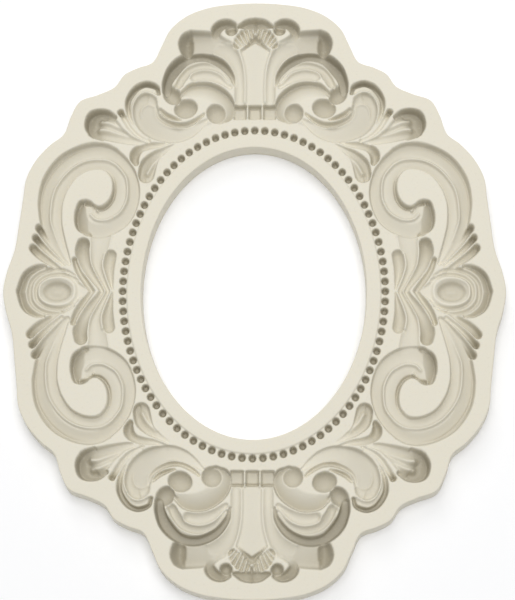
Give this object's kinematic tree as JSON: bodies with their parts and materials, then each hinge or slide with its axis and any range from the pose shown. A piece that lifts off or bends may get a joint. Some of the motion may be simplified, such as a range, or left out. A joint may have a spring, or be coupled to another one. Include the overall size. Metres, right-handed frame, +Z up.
{
  "type": "resin casting mould",
  "caption": "Flexible open-face silicone mould that casts an oval baroque picture frame with beaded edge, scrolls and leaf crests.",
  "frame": {"origin": "centre of the oval opening, on the flat underside that rests on the bench", "axes": "+Z points up out of the carved face, +Y along the tall way of the frame, +X across it; the mould is mirrored across both"},
  "size_m": [0.2024, 0.2454, 0.01],
  "materials": {
    "silicone": "satin"
  },
  "bodies": {
    "root": {"mould_body": "silicone"}
  },
  "joints": []
}
